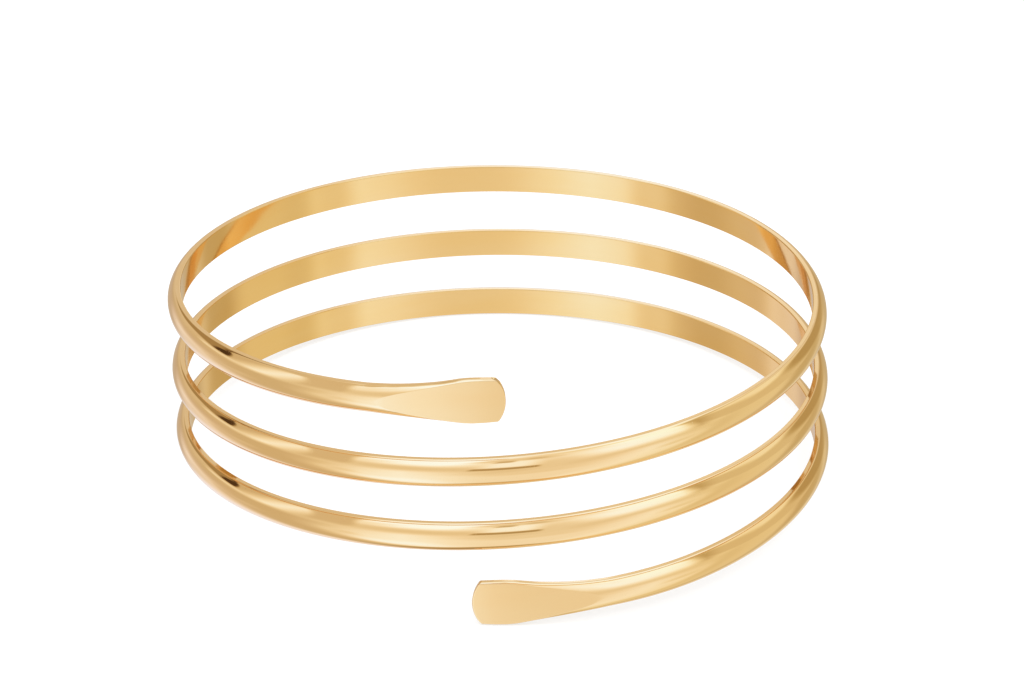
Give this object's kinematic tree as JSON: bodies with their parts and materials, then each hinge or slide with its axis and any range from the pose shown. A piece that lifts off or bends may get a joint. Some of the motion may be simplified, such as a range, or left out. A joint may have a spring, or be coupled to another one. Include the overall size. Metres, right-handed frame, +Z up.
{
  "type": "spiral coil bracelet",
  "caption": "Open coil bracelet: one polished gold-coloured band, flat inside and domed outside, with flattened paddle ends.",
  "frame": {"origin": "on the surface that the coil rests on, under the middle of its box", "axes": "+Z up; the coil's axis leans 4.7 degrees from it, to -X and +Y, as the coil rests; -Y is the side where both ends are"},
  "size_m": [0.0808, 0.0808, 0.0315],
  "materials": {
    "gold_plate": "polished pale yellow gold plate on brass"
  },
  "bodies": {
    "root": {"spiral_band": "gold_plate"}
  },
  "joints": []
}
